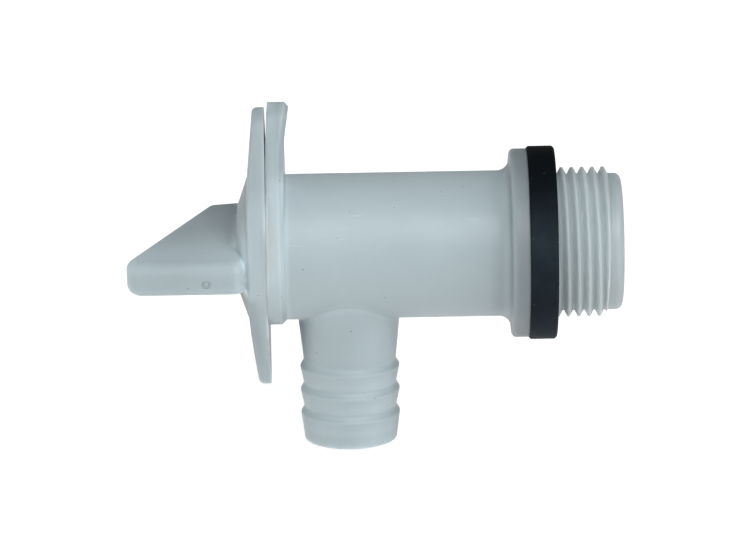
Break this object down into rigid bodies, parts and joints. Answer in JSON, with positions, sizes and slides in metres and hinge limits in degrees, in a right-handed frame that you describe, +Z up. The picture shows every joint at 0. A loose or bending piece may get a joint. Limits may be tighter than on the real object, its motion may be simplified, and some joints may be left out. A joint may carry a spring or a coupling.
{
  "type": "plastic drum tap",
  "caption": "Moulded milky plastic barrel tap with a male threaded inlet, rubber washer, barbed hose tail and a quarter-turn paddle key with locking lugs.",
  "frame": {"origin": "on the barrel axis, in the plane of the washer face that meets the tank wall; it is a point on the axis of the inlet bore", "axes": "+X along the barrel axis into the tank, +Z up, the hose tail points to -Z"},
  "size_m": [0.0868, 0.0342, 0.0614],
  "materials": {
    "natural_plastic": "milky natural polyethylene, as moulded",
    "key_plastic": "milky natural polyethylene, as moulded",
    "clear_rubber": "translucent silicone",
    "black_rubber": "cut black rubber sheet, matt"
  },
  "bodies": {
    "body": {"tap_body": "natural_plastic", "tank_washer": "black_rubber"},
    "turning_key": {"key": "key_plastic", "stem_o_ring": "clear_rubber"}
  },
  "joints": [
    {"name": "key_turn", "type": "hinge", "parent": "body", "child": "turning_key", "pos_m": [-0.051, 0, 0], "axis": [1, 0, 0], "range_deg": [-11.5, 78.5]}
  ]
}
